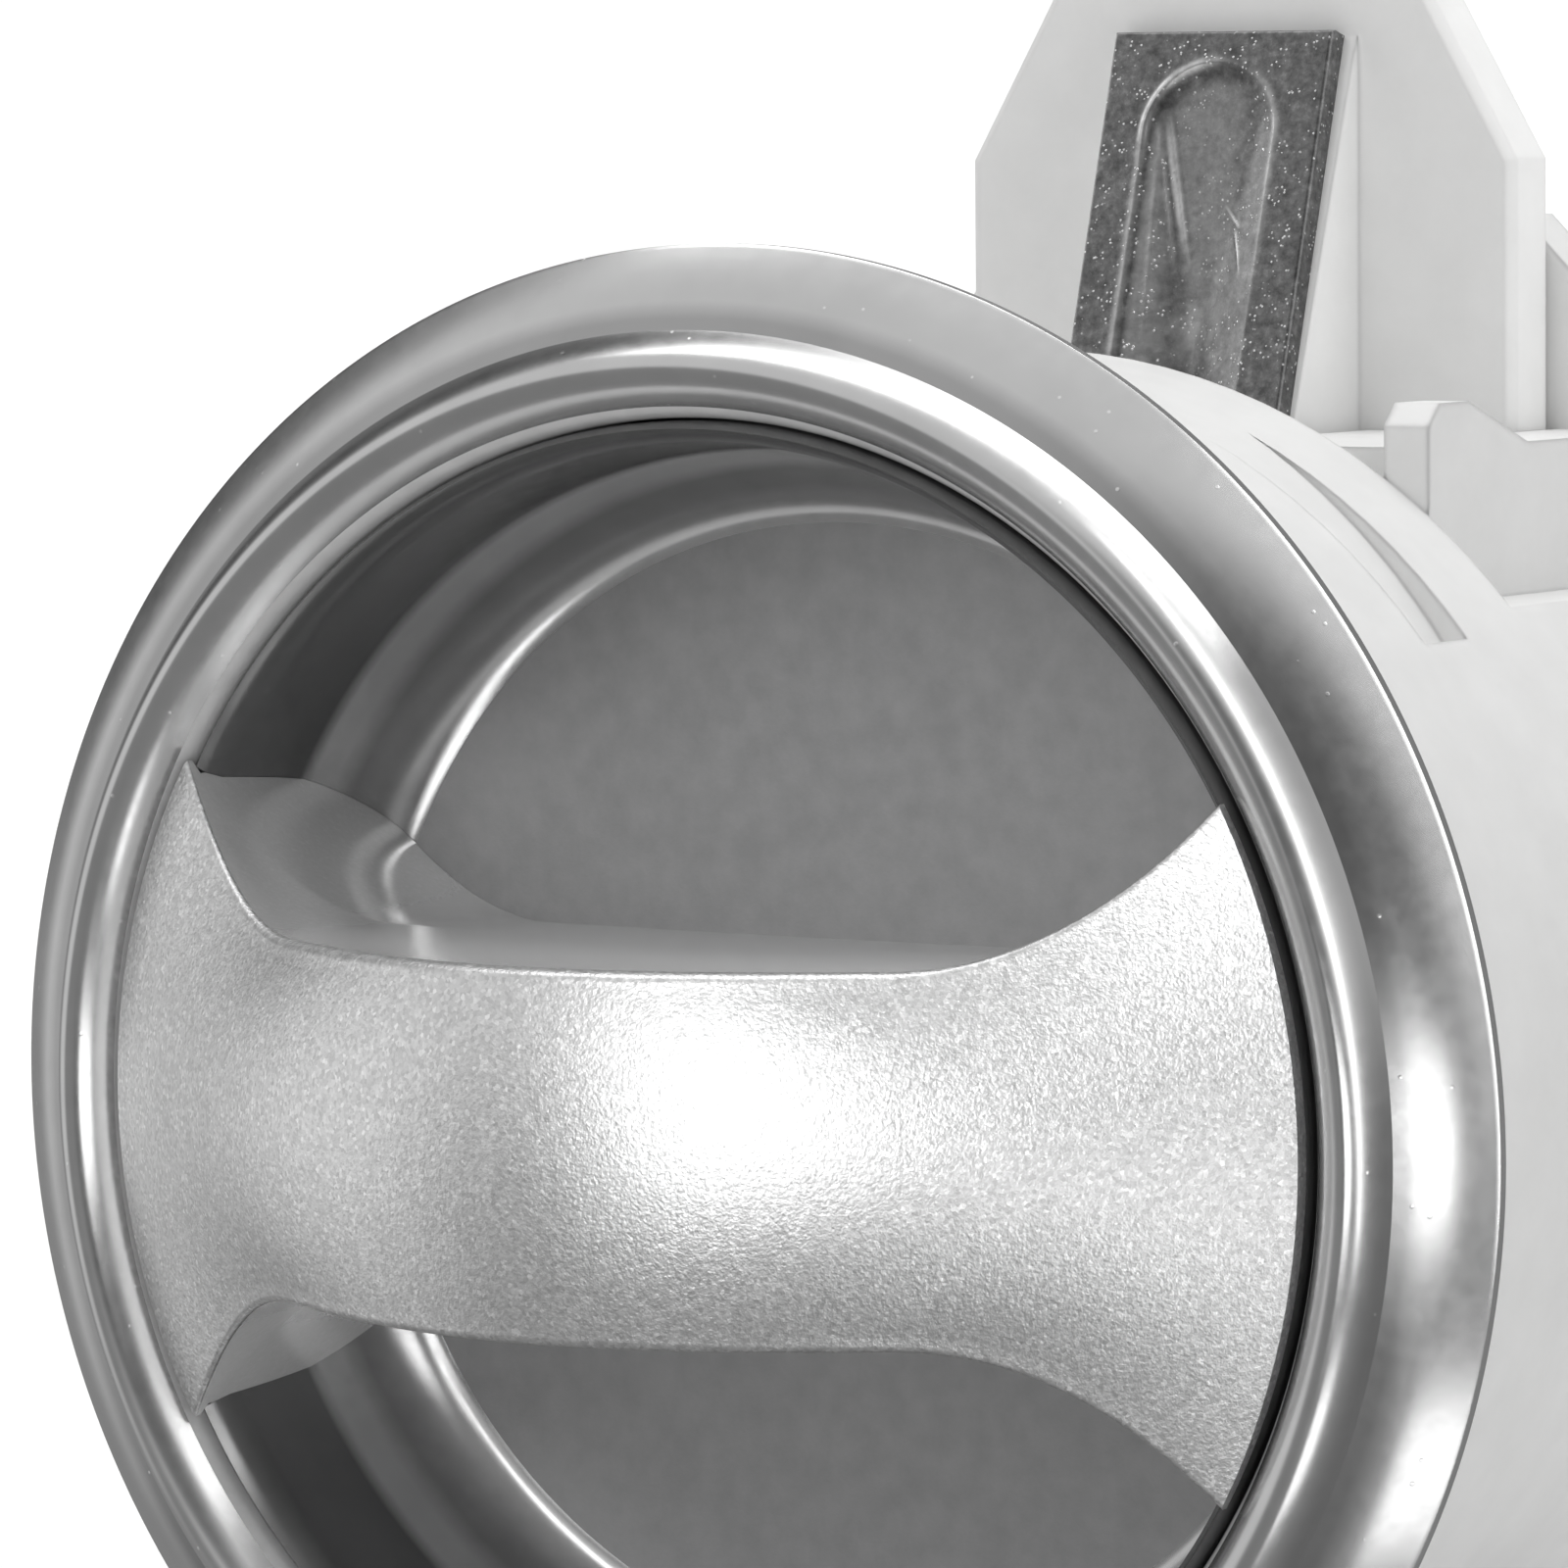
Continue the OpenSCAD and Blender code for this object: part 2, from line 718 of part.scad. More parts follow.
module guides() {
    lip_back = bolt_front - guide_gap;
    both_sides() {
        // rib that carries the guide from the web
        slab(web_back - 0.5, lip_back - lip_depth + 0.5)
            translate([guide_x - rib_t, guide_low])
                square([rib_t, shelf_z - case_wall / 2 - guide_low]);
        // lip in front of the bolt's edge
        slab(lip_back - lip_depth, lip_back)
            translate([lip_x, guide_low])
                square([guide_out - lip_x, guide_high - guide_low]);
        // wall beside the bolt, with the pocket of the detent spring
        slab(lip_back, case_back)
            difference() {
                translate([guide_x, guide_low])
                    square([guide_out - guide_x, guide_high - guide_low]);
                translate([guide_x - 1, notch_z - spring_half + 1.2])
                    square([spring_x + spring_t + 0.9 - guide_x + 1, 2 * spring_half - 2.4]);
                translate([spring_x - push_gap, notch_z - spring_half - push_gap])
                    square([spring_t + 2 * push_gap, 2 * (spring_half + push_gap)]);
            }
        // stop under the bolt's foot at the end of the travel
        slab(bolt_front - 1, case_back)
            intersection() {
                circle(r = case_r - case_wall / 2);
                translate([leg_x - 2, -case_r])
                    square([foot_w + 2, case_r + stop_z]);
            }
    }
}

// Tall side wall of the tower: a lip in front, sloping down to the roof's level.
module cheek() {
    translate([tower_x - case_wall, 0, 0])
        rotate([90, 0, 90])
            linear_extrude(case_wall)
                polygon([
                    [case_front, roof_z - roof_t], [case_front, cheek_lip_z - 0.8],
                    [case_front + 0.8, cheek_lip_z], [case_front + cheek_lip_len, cheek_lip_z],
                    [case_front + cheek_run_len, roof_z], [case_front + cheek_run_len, roof_z - roof_t]
                ]);
}

// Posts that take the rear cover's screws: each runs into the case's wall.
module posts() {
    for (sx = [-1, 1], sz = [-1, 1])
        translate([sx * post_x, 0, sz * post_z])
            rod(post_r, case_back - screw_len, case_back);
}

// Drum, web, boss of the bush and round wall of the case, as one turned profile.
groove_h = snap_h + 0.1;
drum_points = concat(
    [[sleeve_r + push_gap, -rim_seat], [drum_r, -rim_seat]],
    case_r > drum_r ? [[drum_r, case_front], [case_r, case_front]] : [],
    [[case_r, case_back], [cavity_r, case_back]],
    case_r > drum_r
        ? [[cavity_r, case_front + case_wall], [drum_cavity_r, case_front + case_wall]] : [],
    [[drum_cavity_r, web_back], [bush_r + boss_wall, web_back], [bush_r + boss_wall, boss_back]],
    [[bush_r + push_gap, boss_back], [bush_r + push_gap, web_front], [drum_in_r, web_front]],
    [[drum_in_r, sleeve_len + 0.1], [sleeve_r + push_gap, sleeve_len + 0.1]],
    [[sleeve_r + push_gap, snap_y + snap_w + 0.1], [sleeve_r + groove_h, snap_y + snap_w / 2 + 0.1]],
    [[sleeve_r + groove_h, snap_y + snap_w / 2 - 0.1], [sleeve_r + push_gap, snap_y - 0.1]]
);

module drum() {
    difference() {
        turned(drum_points);
        // the case is cut off level with its shelf
        translate([-case_r - 1, case_front, shelf_z])
            cube([2 * case_r + 2, case_depth + 1, case_r]);
    }
}

// Flat walls that close the case: behind the drum's rim, along the shelf and round the tower.
module case_walls() {
    shelf_low = shelf_z - case_wall;
    both_sides() {
        slab(case_front - case_wall, case_front)
            intersection() {
                circle(r = drum_r - case_wall / 2);
                translate([tower_x - case_wall, shelf_low])
                    square([drum_r, drum_r]);
            }
        slab(case_front - case_wall, case_front)
            intersection() {
                circle(r = drum_r - case_wall / 2);
                translate([tower_x - case_wall, shelf_low])
                    square([drum_r, case_wall]);
            }
        slab(case_front, case_back)
            intersection() {
                circle(r = case_r - case_wall / 2);
                translate([tower_x - case_wall, shelf_low])
                    square([case_r, case_wall]);
            }
    }
    difference() {
        translate([-tower_x, case_front, shelf_low])
            cube([2 * tower_x, case_depth, roof_z - shelf_low]);
        translate([-tower_x + case_wall, case_front + case_wall, shelf_low - 1])
            cube([2 * (tower_x - case_wall), case_depth, roof_z - roof_t - shelf_low + 1]);
    }
}

module housing() {
    color("white")
        difference() {
            union() {
                drum();
                case_walls();
                slab(case_front, case_front + ear_t)
                    ear_outline();
                guides();
                posts();
                both_sides()
                    cheek();
            }
            drum_ramps();
            roof_opening();
            both_sides()
                front_recess();
            for (s = [-1, 1])
                translate([s * ear_x, 0, 0])
                    rod(ear_hole_d / 2, case_front - 1, case_front + ear_t + 1);
            for (sx = [-1, 1], sz = [-1, 1])
                translate([sx * post_x, 0, sz * post_z])
                    rod(screw_r + push_gap, case_back - screw_len + 1.2, case_back + 1);
        }
}

// Opening in the roof: a slot for the bolt, with room in front for the boss.
module roof_opening() {
    slab(bolt_front - guide_gap, case_back + 1)
        translate([-guide_x, window_top - 6])
            square([2 * guide_x, 20]);
    slab(bolt_front - boss_rise(boss_low) - plate_t - 0.8, bolt_front)
        translate([-plate_w / 2 - boss_skew - 0.4, window_top - 6])
            square([plate_w + 2 * boss_skew + 0.8, 20]);
}

// The tower's front wall stands back beside each cheek, as far down as the drum's rim.
recess_w = 5.4;
recess_d = 1.1;

module front_recess() {
    slab(case_front - eps, case_front + recess_d)
        difference() {
            translate([tower_x - case_wall - recess_w, shelf_z])
                square([recess_w, roof_z - shelf_z + 1]);
            circle(r = drum_r - drum_wall / 2);
        }
}

// Tongue of the rear cover that stands up behind the bolt's head.
tongue_x = bolt_x + 2.3;
tongue_top = roof_z + 8;
tongue_cut = 3.6;

module rear_cover() {
    color("white")
        difference() {
            union() {
                slab(case_back, cover_back) {
                    case_outline(0);
                    polygon([
                        [-tongue_x, 0], [tongue_x, 0], [tongue_x, tongue_top - tongue_cut],
                        [tongue_x - tongue_cut, tongue_top], [-tongue_x + tongue_cut, tongue_top],
                        [-tongue_x, tongue_top - tongue_cut]
                    ]);
                }
                rod(cover_boss_r, cover_back - eps, tail_front);
                // stiffening ribs from the boss
                slab(cover_back - eps, cover_back + 1.2)
                    difference() {
                        union() {
                            translate([-0.75, -case_r + 4])
                                square([1.5, case_r + roof_z - 7]);
                            for (a = [-34, 34])
                                rotate(a)
                                    translate([-case_r + 9, -0.75])
                                        square([2 * case_r - 18, 1.5]);
                        }
                        circle(r = cover_boss_r - 1);
                    }
            }
            rod(journal_r + run_gap, case_back - 1, tail_front + 1);
            // clearance for the corners of the spindle's square
            rod(spindle_r - 0.3, case_back - 1, case_back + 2 * guide_gap);
            for (sx = [-1, 1], sz = [-1, 1])
                translate([sx * post_x, 0, sz * post_z])
                    rod(screw_r + 0.2, case_back - 1, cover_back + 1);
        }
}

module rear_washer() {
    color("silver")
        difference() {
            rod(journal_r + 2.2, tail_front, tail_front + rear_washer_t);
            rod(journal_r + 0.1, tail_front - 1, tail_front + 2);
        }
}

module retaining_clip() {
    color("silver")
        slab(clip_front, clip_front + clip_t)
            difference() {
                circle(r = journal_r + 1.9);
                circle(r = journal_r - 0.5);
                translate([-(journal_r - 0.7), -2 * spindle_r])
                    square([2 * (journal_r - 0.7), 2 * spindle_r]);
                for (a = [30, 150])
                    translate([(journal_r + 0.3) * cos(a), (journal_r + 0.3) * sin(a)])
                        circle(r = 0.7);
            }
}

module cover_screws() {
    color("silver")
        for (sx = [-1, 1], sz = [-1, 1])
            translate([sx * post_x, 0, sz * post_z])
                difference() {
                    union() {
                        rod(screw_r, cover_back - screw_len, cover_back + eps);
                        turned([[0, cover_back], [head_r, cover_back], [head_r, cover_back + head_h * 0.55],
                            [head_r * 0.8, cover_back + head_h * 0.9], [head_r * 0.5, cover_back + head_h],
                            [0, cover_back + head_h]]);
                    }
                    slab(cover_back + head_h * 0.35, cover_back + head_h + 1)
                        union() {
                            square([2.8, 0.6], center = true);
                            square([0.6, 2.8], center = true);
                        }
                }
}

housing();
rear_cover();
bezel_ring();
knob_cup();
knob_bar();
bar_screws();
spindle();
spindle_bush();
thrust_washer();
drive_gear();
bolt();
wear_plate();
detent_spring_left();
detent_spring_right();
rear_washer();
retaining_clip();
cover_screws();
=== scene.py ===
import math

import bmesh
import bpy
from mathutils import Matrix, Vector


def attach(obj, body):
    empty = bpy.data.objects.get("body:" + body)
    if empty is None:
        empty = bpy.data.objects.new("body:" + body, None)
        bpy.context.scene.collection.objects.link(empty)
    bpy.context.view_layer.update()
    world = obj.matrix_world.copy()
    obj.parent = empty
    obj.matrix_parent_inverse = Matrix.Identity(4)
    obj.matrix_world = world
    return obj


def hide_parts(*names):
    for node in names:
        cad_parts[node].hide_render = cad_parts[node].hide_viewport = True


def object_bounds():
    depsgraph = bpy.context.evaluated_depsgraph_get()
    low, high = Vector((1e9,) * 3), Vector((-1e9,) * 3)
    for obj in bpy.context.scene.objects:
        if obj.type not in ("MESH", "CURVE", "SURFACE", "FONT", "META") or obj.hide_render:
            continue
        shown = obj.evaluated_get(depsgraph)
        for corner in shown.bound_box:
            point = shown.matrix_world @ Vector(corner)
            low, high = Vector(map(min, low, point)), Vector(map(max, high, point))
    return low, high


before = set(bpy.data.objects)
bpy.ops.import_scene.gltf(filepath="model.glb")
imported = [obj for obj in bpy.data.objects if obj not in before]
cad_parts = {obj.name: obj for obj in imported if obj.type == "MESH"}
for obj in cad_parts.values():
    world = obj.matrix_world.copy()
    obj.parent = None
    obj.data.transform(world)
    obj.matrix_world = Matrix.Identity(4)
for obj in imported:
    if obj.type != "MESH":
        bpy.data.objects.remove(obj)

cad_bounds = [list(corner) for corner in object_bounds()]

MM = 0.001
scene = bpy.context.scene

# Sizes in millimetres, as in the model's source. Y runs into the door and Z runs up.
KNOB_R, KNOB_GAP, DRUM_WALL = 24.0, 0.4, 1.4
FLANGE_W, BEAD_H, BEAD_W = 2.9, 3.9, 2.7
RING_BORE_R = KNOB_R + KNOB_GAP
BEAD_R = RING_BORE_R + BEAD_W
BEZEL_R = BEAD_R + FLANGE_W
DRUM_R = RING_BORE_R + DRUM_WALL
CUP_DEPTH, CUP_WALL = 7.5, 1.1
WAIST_W, FLARE_W, CROWN_H, END_H = 12.6, 23.4, 15.0, 3.3
PUSH_GAP = 0.02


# Mesh helpers. Coordinates go in as millimetres.
def mesh_object(name, verts, faces, sharp_deg=35.0):
    mesh = bpy.data.meshes.new(name)
    mesh.from_pydata([[c * MM for c in v] for v in verts], [], faces)
    mesh.validate()
    bm = bmesh.new()
    bm.from_mesh(mesh)
    bmesh.ops.recalc_face_normals(bm, faces=bm.faces)
    bm.to_mesh(mesh)
    bm.free()
    obj = bpy.data.objects.new(name, mesh)
    scene.collection.objects.link(obj)
    for face in mesh.polygons:
        face.use_smooth = True
    mesh.set_sharp_from_angle(angle=math.radians(sharp_deg))
    return obj


def revolve(name, profile, steps):
    """Turns a closed profile of (radius, y) points about the Y axis."""
    verts, rings = [], []
    for r, y in profile:
        if r == 0:
            rings.append([len(verts)])
            verts.append((0, y, 0))
        else:
            rings.append(list(range(len(verts), len(verts) + steps)))
            for k in range(steps):
                a = 2 * math.pi * k / steps
                verts.append((r * math.cos(a), y, r * math.sin(a)))
    faces = []
    for i, ring in enumerate(rings):
        other = rings[(i + 1) % len(rings)]
        if len(ring) == 1 and len(other) == 1:
            continue
        for k in range(steps):
            n = (k + 1) % steps
            if len(ring) == 1:
                faces.append((ring[0], other[k], other[n]))
            elif len(other) == 1:
                faces.append((ring[k], ring[n], other[0]))
            else:
                faces.append((ring[k], ring[n], other[n], other[k]))
    return mesh_object(name, verts, faces)


def arc(steps, start_deg, end_deg, point):
    """Points of a curve given as a function of an angle in radians."""
    span = math.radians(end_deg - start_deg)
    return [point(math.radians(start_deg) + span * i / steps) for i in range(steps + 1)]


def blend_step(low, high, value):
    """A smooth rise from 0 to 1 as the value goes from low to high."""
    share = min(1.0, max(0.0, (value - low) / (high - low)))
    return share * share * (3 - 2 * share)


def face_extent(obj, face):
    """A face's largest distance from the Y axis and its smallest Y."""
    corners = [obj.data.vertices[v].co / MM for v in face.vertices]
    return max(math.hypot(c.x, c.z) for c in corners), min(c.y for c in corners)


# Material helpers: each material is a small node tree.
class NodeTree:
    def __init__(self, tree):
        self.nodes, self.links = tree.nodes, tree.links
        self.nodes.clear()

    def plug(self, value, socket):
        if isinstance(value, bpy.types.NodeSocket):
            self.links.new(value, socket)
        else:
            socket.default_value = value

    def math(self, operation, *values):
        node = self.nodes.new("ShaderNodeMath")
        node.operation = operation
        for value, socket in zip(values, node.inputs):
            self.plug(value, socket)
        return node.outputs[0]

    def step(self, low, high, value, to_low=0.0, to_high=1.0):
        """A smooth change from to_low to to_high as the value goes from low to high."""
        node = self.nodes.new("ShaderNodeMapRange")
        node.interpolation_type = "SMOOTHSTEP"
        limits = {"From Min": low, "From Max": high, "To Min": to_low, "To Max": to_high}
        for name, number in limits.items():
            node.inputs[name].default_value = number
        self.plug(value, node.inputs["Value"])
        return node.outputs["Result"]

    def coords(self):
        return self.nodes.new("ShaderNodeTexCoord").outputs["Object"]

    def axes(self, names, source=None):
        """The named coordinates of a place, which is the object's own where none is given."""
        split = self.nodes.new("ShaderNodeSeparateXYZ")
        self.links.new(self.coords() if source is None else source, split.inputs[0])
        return [split.outputs[name] for name in names]

    def noise(self, scale, detail=3.0, roughness=0.5):
        node = self.nodes.new("ShaderNodeTexNoise")
        node.inputs["Scale"].default_value = scale
        node.inputs["Detail"].default_value = detail
        node.inputs["Roughness"].default_value = roughness
        self.links.new(self.coords(), node.inputs["Vector"])
        return node.outputs["Fac"]

    def cells(self, scale, output="Distance"):
        node = self.nodes.new("ShaderNodeTexVoronoi")
        node.inputs["Scale"].default_value = scale
        self.links.new(self.coords(), node.inputs["Vector"])
        return node.outputs[output]

    def ramp(self, source, *stops):
        """Colours between stops of (place, value), where a plain number is a grey."""
        node = self.nodes.new("ShaderNodeValToRGB")
        elements = node.color_ramp.elements
        while len(elements) < len(stops):
            elements.new(0.5)
        for element, (place, value) in zip(elements, stops):
            element.position = place
            element.color = (*value, 1.0) if isinstance(value, tuple) else grey(value)
        self.links.new(source, node.inputs["Fac"])
        return node.outputs["Color"]

    def mix(self, share, first, second, blend="MIX"):
        node = self.nodes.new("ShaderNodeMix")
        node.data_type, node.blend_type = "RGBA", blend
        self.plug(share, node.inputs["Factor"])
        self.plug(first, node.inputs["A"])
        self.plug(second, node.inputs["B"])
        return node.outputs["Result"]

    def bump(self, height, strength, distance_mm, normal=None):
        node = self.nodes.new("ShaderNodeBump")
        node.inputs["Strength"].default_value = strength
        node.inputs["Distance"].default_value = distance_mm * MM
        self.links.new(height, node.inputs["Height"])
        if normal is not None:
            self.links.new(normal, node.inputs["Normal"])
        return node.outputs["Normal"]

    def soft_edges(self, radius_mm):
        node = self.nodes.new("ShaderNodeBevel")
        node.samples = 6
        node.inputs["Radius"].default_value = radius_mm * MM
        return node.outputs["Normal"]


def grey(value):
    return (value, value, value, 1.0)


def new_material(name, metallic):
    material = bpy.data.materials.new(name)
    material.use_nodes = True
    tree = NodeTree(material.node_tree)
    out = tree.nodes.new("ShaderNodeOutputMaterial")
    shader = tree.nodes.new("ShaderNodeBsdfPrincipled")
    tree.links.new(shader.outputs["BSDF"], out.inputs["Surface"])
    shader.inputs["Metallic"].default_value = metallic
    return material, tree, shader


def plain_material(name, metallic, colours, rough, grain, bump_mm, patch=900.0, edge_mm=0.0):
    """A surface whose colour and roughness wander between two values, with a fine grain in relief."""
    material, tree, shader = new_material(name, metallic)
    wander = tree.noise(patch, 4.0, 0.6)
    tree.plug(tree.ramp(wander, (0.3, colours[0]), (0.7, colours[1])), shader.inputs["Base Color"])
    tree.plug(tree.ramp(wander, (0.25, rough[0]), (0.75, rough[1])), shader.inputs["Roughness"])
    base = tree.soft_edges(edge_mm) if edge_mm else None
    tree.plug(tree.bump(tree.noise(grain, 2.0, 0.6), 0.6, bump_mm, base), shader.inputs["Normal"])
    return material


def set_roughness(tree, shader, rough, grain, detail=3.0):
    noise = tree.noise(grain, detail, 0.6)
    tree.plug(tree.ramp(noise, (0.3, rough[0]), (0.7, rough[1])), shader.inputs["Roughness"])


def plating_haze(tree):
    """The normal of a plated face, which is never quite smooth."""
    return tree.bump(tree.noise(2500.0, 2.0, 0.6), 0.5, 0.0016)


def polished_material(name, colours, rough, speck_share, painted_shade_by_radius):
    """Drawn and polished metal: mottling, haze, a few specks, and painted shade in the valley round the bead.
    """
    material, tree, shader = new_material(name, 1.0)
    squares = [tree.math("MULTIPLY", axis, axis) for axis in tree.axes("XZ")]
    reach = tree.math("SQRT", tree.math("ADD", *squares))
    share = tree.math("MULTIPLY", reach, 1 / (BEZEL_R * MM))
    # Painted shade: the base colour is darkened by radius in the valley beside the bead.
    painted_valley_shade = tree.ramp(share, *[(radius / BEZEL_R, tone) for radius, tone in painted_shade_by_radius])
    mottle = tree.ramp(tree.noise(260.0, 3.0, 0.55), (0.3, colours[0]), (0.7, colours[1]))
    tone = tree.mix(1.0, mottle, painted_valley_shade, "MULTIPLY")
    specks = tree.step(0.5 * speck_share, speck_share, tree.cells(900.0), 1.0, 0.0)
    tree.plug(tree.mix(specks, tone, grey(0.9)), shader.inputs["Base Color"])
    set_roughness(tree, shader, rough, 1500.0)
    tree.plug(tree.bump(specks, 0.4, 0.01, plating_haze(tree)), shader.inputs["Normal"])
    return material


def cup_material(name, painted_light_and_shade_by_depth, rough):
    """Pressed and plated steel, with painted bands of shade and reflected light from the lip to the floor."""
    material, tree, shader = new_material(name, 1.0)
    [depth] = tree.axes("Y")
    # Painted light and shade: the base colour's dark and light bands follow the depth from the lip to the
    # floor.
    tone = tree.ramp(tree.math("MULTIPLY", depth, 1 / (CUP_DEPTH * MM)), *painted_light_and_shade_by_depth)
    mottle = tree.ramp(tree.noise(500.0, 3.0, 0.55), (0.3, 0.92), (0.7, 1.0))
    tree.plug(tree.mix(1.0, tone, mottle, "MULTIPLY"), shader.inputs["Base Color"])
    set_roughness(tree, shader, rough, 1500.0)
    tree.plug(plating_haze(tree), shader.inputs["Normal"])
    return material


def blasted_material(name, colours, rough, relief_mm, metallic=1.0):
    """Pearl-blasted and plated metal: a dense sparkle of tiny dimples."""
    material, tree, shader = new_material(name, metallic)
    dull, bright = colours
    sparkle = tree.ramp(tree.cells(7000.0, "Color"), (0.0, dull), (0.75, (dull + bright) / 2), (1.0, bright))
    tree.plug(sparkle, shader.inputs["Base Color"])
    set_roughness(tree, shader, rough, 3500.0, 2.0)
    tree.plug(tree.bump(tree.noise(7600.0, 1.5, 0.6), 0.8, relief_mm), shader.inputs["Normal"])
    return material


def plate_material(name):
    """Galvanised sheet: dark spangle with bright specks, rubbed bright where it was pressed, and a painted
    highlight along the channel's rim.
    """
    material, tree, shader = new_material(name, 1.0)
    spangle = tree.noise(2600.0, 4.0, 0.7)
    fine = tree.ramp(spangle, (0.32, 0.13), (0.55, 0.24), (0.78, 0.42))
    broad = tree.ramp(tree.noise(800.0, 3.0), (0.3, 0.75), (0.7, 1.0))
    specks = tree.math(
        "MULTIPLY",
        tree.step(0.16, 0.3, tree.cells(5200.0), 1.0, 0.0),
        tree.step(0.5, 0.6, tree.noise(1500.0, 1.0)),
    )
    # This mask holds real rubbing and a painted highlight along the channel's rim; both brighten the colour
    # and smooth the roughness.
    burnish_and_highlight = tree.nodes.new("ShaderNodeAttribute")
    burnish_and_highlight.attribute_name = "burnish_and_highlight"
    streaks = tree.ramp(tree.noise(1400.0, 3.0, 0.6), (0.35, 0.55), (0.6, 1.0))
    rub_and_highlight = tree.math("MULTIPLY", burnish_and_highlight.outputs["Fac"], streaks)
    dull = tree.mix(specks, tree.mix(1.0, fine, broad, "MULTIPLY"), grey(0.85))
    tree.plug(tree.mix(rub_and_highlight, dull, grey(0.92)), shader.inputs["Base Color"])
    matt = tree.ramp(spangle, (0.3, 0.34), (0.7, 0.46))
    tree.plug(tree.mix(rub_and_highlight, matt, grey(0.26)), shader.inputs["Roughness"])
    tree.plug(tree.bump(specks, 0.6, 0.03, tree.bump(spangle, 0.5, 0.02)), shader.inputs["Normal"])
    return material


WHITE = plain_material(
    "white_plastic", 0.0, ((0.78, 0.78, 0.775), (0.82, 0.82, 0.815)), (0.42, 0.5), 2500, 0.008, 400.0, 0.45)
# The ring's last list is painted shade: tone by radius in mm, darkest in the valley beside the bead.
POLISHED = polished_material(
    "polished_chrome", (0.66, 0.72), (0.22, 0.27), 0.08,
    [(26.5, 1.0), (26.9, 0.66), (27.5, 0.66), (28.1, 1.0)])
BORE = plain_material("satin_bore", 0.05, (0.5, 0.56), (0.5, 0.58), 3000, 0.004)
# The cup's list is painted light and shade: dark near the lip, light where the wall meets the ledge, darker
# down the ledge, lighter again at the floor's edge.
CUP_CHROME = cup_material(
    "cup_chrome",
    [(0.0, 0.26), (0.38, 0.22), (0.47, 0.78), (0.6, 0.74), (0.72, 0.42), (0.86, 0.48), (1.0, 0.66)],
    (0.2, 0.26))
CUP_FLOOR = plain_material(
    "matt_cup_floor", 0.7, ((0.42, 0.42, 0.423), (0.5, 0.5, 0.503)), (0.46, 0.56), 9000, 0.01)
PEARL = blasted_material("pearl_chrome", (0.56, 1.0), (0.38, 0.46), 0.03)
BAR_SIDE = blasted_material("satin_bar_side", (0.84, 0.94), (0.18, 0.23), 0.002, 0.64)
GALVANISED = plate_material("galvanised_steel")
TURNED = plain_material(
    "turned_steel", 1.0, ((0.5, 0.5, 0.51), (0.58, 0.58, 0.59)), (0.25, 0.35), 3000, 0.004)
ZINC = plain_material("zinc_steel", 1.0, ((0.6, 0.61, 0.63), (0.7, 0.71, 0.72)), (0.22, 0.34), 3000, 0.004)
SPRING = plain_material(
    "spring_steel", 1.0, ((0.34, 0.34, 0.36), (0.42, 0.42, 0.44)), (0.25, 0.35), 3000, 0.003)
BRONZE = plain_material(
    "sintered_bronze", 1.0, ((0.5, 0.35, 0.18), (0.66, 0.48, 0.26)), (0.4, 0.55), 4000, 0.01)
NATURAL = plain_material(
    "natural_plastic", 0.0, ((0.78, 0.76, 0.68), (0.84, 0.82, 0.75)), (0.35, 0.45), 5000, 0.006)


def give(obj, *materials):
    obj.data.materials.clear()
    for material in materials:
        obj.data.materials.append(material)
    return obj


def stand_for(obj, body, slot, *nodes):
    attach(obj, body)
    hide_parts(*nodes)
    return obj


# Bezel ring: an outer flange, a valley, a rolled bead and a sleeve in the drum. Heights go forwards.
FLANGE_H, FLANGE_BULGE, FLANGE_STEPS = 0.5, 0.22, 28
BACK_BREAK, CORNER_W, CORNER_H = 0.1, 0.03, 0.04
VALLEY_H, INNER_H = BEAD_H - 1.4, BEAD_H - 1.85
CREST_R, INNER_R, INNER_BACK = RING_BORE_R + BEAD_W * 0.54, RING_BORE_R - 0.3, 0.3
INNER_ROUND, INNER_START_DEG = 0.25, 88
SLEEVE_R, SLEEVE_LEN, RIM_SEAT, SEAT_PLAY = RING_BORE_R + 0.65, 3.5, 0.3, 0.15
SATIN_R, SATIN_H = RING_BORE_R + 0.12, BEAD_H - 1.05


def cone(a):
    """Falls evenly from 1 to 0 as an angle goes from 0 to 90 degrees."""
    return 1 - a / (math.pi / 2)


def bezel_profile():
    points = [(BEZEL_R - BACK_BREAK, 0.0), (BEZEL_R, -BACK_BREAK), (BEZEL_R, CORNER_H - FLANGE_H)]
    for i in range(FLANGE_STEPS):
        t = i / FLANGE_STEPS
        y = -FLANGE_H - (VALLEY_H - FLANGE_H) * t - FLANGE_BULGE * math.sin(math.pi * t)
        points.append((BEZEL_R - CORNER_W - (FLANGE_W - CORNER_W) * t, y))
    points += arc(24, 0, 90, lambda a: (
        CREST_R + (BEAD_R - CREST_R) * cone(a),
        -VALLEY_H - (BEAD_H - VALLEY_H) * math.sin(a),
    ))
    points += arc(28, INNER_START_DEG, 0, lambda a: (
        CREST_R - (CREST_R - INNER_R) * (INNER_ROUND * math.cos(a) + (1 - INNER_ROUND) * cone(a)),
        -INNER_H - (BEAD_H - INNER_H) * math.sin(a),
    ))
    points += [(INNER_R, -INNER_BACK), (RING_BORE_R, 0.1), (RING_BORE_R, SLEEVE_LEN)]
    points += [(SLEEVE_R - 0.25, SLEEVE_LEN), (SLEEVE_R, SLEEVE_LEN - 0.4), (SLEEVE_R, -RIM_SEAT)]
    points += [(DRUM_R + SEAT_PLAY, -RIM_SEAT), (DRUM_R + SEAT_PLAY, 0.0)]
    return points


